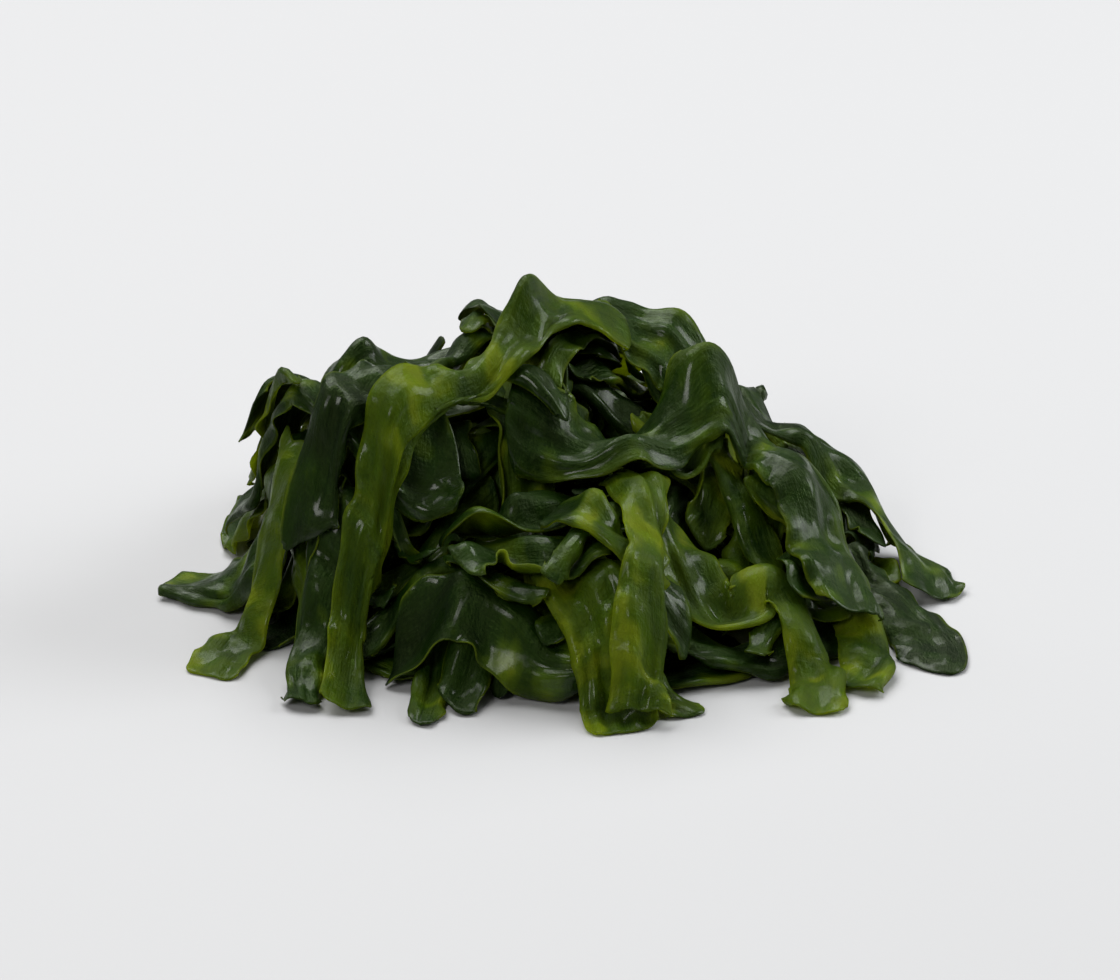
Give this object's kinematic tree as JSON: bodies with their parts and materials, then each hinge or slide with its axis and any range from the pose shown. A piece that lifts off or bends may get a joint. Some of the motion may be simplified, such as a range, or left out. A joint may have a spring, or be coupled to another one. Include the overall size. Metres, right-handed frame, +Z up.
{
  "type": "wakame",
  "caption": "Heap of blanched wakame: folded strips of dark green seaweed with cut ends and waved margins, piled in a low mound that rests on a flat surface.",
  "frame": {"origin": "the middle of the heap's box at the level of the surface that it lies on", "axes": "+Z up; -Y is the front, where the longest blades hang; +X to the right seen from the front"},
  "size_m": [0.1156, 0.1023, 0.0487],
  "materials": {
    "dark_blade": "wet and glossy, dark olive green",
    "green_blade": "wet and glossy, yellowish green"
  },
  "bodies": {
    "root": {"floor_blade_1": "dark_blade", "floor_blade_10": "dark_blade", "floor_blade_2": "dark_blade", "floor_blade_3": "dark_blade", "floor_blade_4": "dark_blade", "floor_blade_5": "dark_blade", "floor_blade_6": "dark_blade", "floor_blade_7": "dark_blade", "floor_blade_8": "dark_blade", "floor_blade_9": "dark_blade", "front_curl_blade": "dark_blade", "front_hanging_blade": "green_blade", "front_knot_blade": "dark_blade", "front_low_blade": "green_blade", "front_wave_blade": "green_blade", "inner_blade_1": "dark_blade", "inner_blade_2": "dark_blade", "inner_blade_3": "dark_blade", "inner_blade_4": "dark_blade", "inner_blade_5": "dark_blade", "inner_blade_6": "dark_blade", "inner_blade_7": "dark_blade", "left_cut_blade": "green_blade", "left_dark_blade": "dark_blade", "left_flank_blade": "dark_blade", "left_grey_blade": "dark_blade", "left_shoulder_blade": "dark_blade", "left_strip_blade": "dark_blade", "long_front_blade": "green_blade", "outer_blade_1": "dark_blade", "outer_blade_10": "dark_blade", "outer_blade_11": "green_blade", "outer_blade_12": "dark_blade", "outer_blade_13": "dark_blade", "outer_blade_14": "dark_blade", "outer_blade_15": "dark_blade", "outer_blade_16": "green_blade", "outer_blade_17": "dark_blade", "outer_blade_18": "green_blade", "outer_blade_19": "dark_blade", "outer_blade_2": "green_blade", "outer_blade_20": "dark_blade", "outer_blade_21": "green_blade", "outer_blade_22": "green_blade", "outer_blade_23": "dark_blade", "outer_blade_24": "dark_blade", "outer_blade_25": "green_blade", "outer_blade_3": "dark_blade", "outer_blade_4": "dark_blade", "outer_blade_5": "dark_blade", "outer_blade_6": "dark_blade", "outer_blade_7": "dark_blade", "outer_blade_8": "dark_blade", "outer_blade_9": "green_blade", "right_back_blade": "dark_blade", "right_loop_blade": "green_blade", "right_low_blade": "dark_blade", "top_back_blade": "dark_blade", "wide_top_blade": "dark_blade"}
  },
  "joints": []
}
